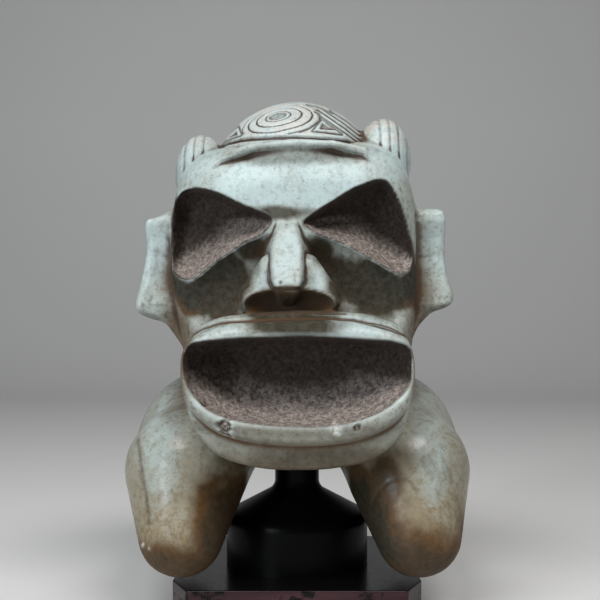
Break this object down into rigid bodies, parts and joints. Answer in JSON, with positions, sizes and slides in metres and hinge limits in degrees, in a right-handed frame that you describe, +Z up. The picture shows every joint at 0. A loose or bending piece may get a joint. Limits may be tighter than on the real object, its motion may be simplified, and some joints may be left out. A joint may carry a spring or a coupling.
{
  "type": "zemi figure",
  "caption": "Carved stone spirit figure with a broad mask-like head, hollow eyes and mouth, and folded legs, resting on a turned pedestal with a flat base.",
  "frame": {"origin": "under the middle of the whole object, on the surface that it stands on", "axes": "+Z up, the figure faces -Y, +X is across the face, towards the viewer's right"},
  "size_m": [0.262, 0.23, 0.393],
  "materials": {
    "stone": "worn polish on pale grey-green stone, with tan patina low down and dark rough hollows",
    "cork_lining": "matt lining",
    "black_steel": "satin black paint",
    "pin_steel": "brushed",
    "black_wood": "gloss black lacquer",
    "maroon_wood": "dark maroon lacquer with chipped patches",
    "felt": "black felt",
    "fastener_steel": "zinc plated"
  },
  "bodies": {
    "mount": {"base_felt": "felt", "plinth": "maroon_wood", "top_board": "black_wood", "board_screws": "fastener_steel", "tie_rod": "fastener_steel", "tie_washer": "fastener_steel", "tie_nut": "fastener_steel", "pedestal": "black_wood", "saddle": "black_steel", "saddle_lining": "cork_lining", "locating_pin": "pin_steel"},
    "figure": {"zemi_figure": "stone"}
  },
  "joints": [
    {"name": "figure_lift", "type": "slide", "parent": "mount", "child": "figure", "axis": [0, 0, 1], "range_m": [0, 0.14]}
  ]
}
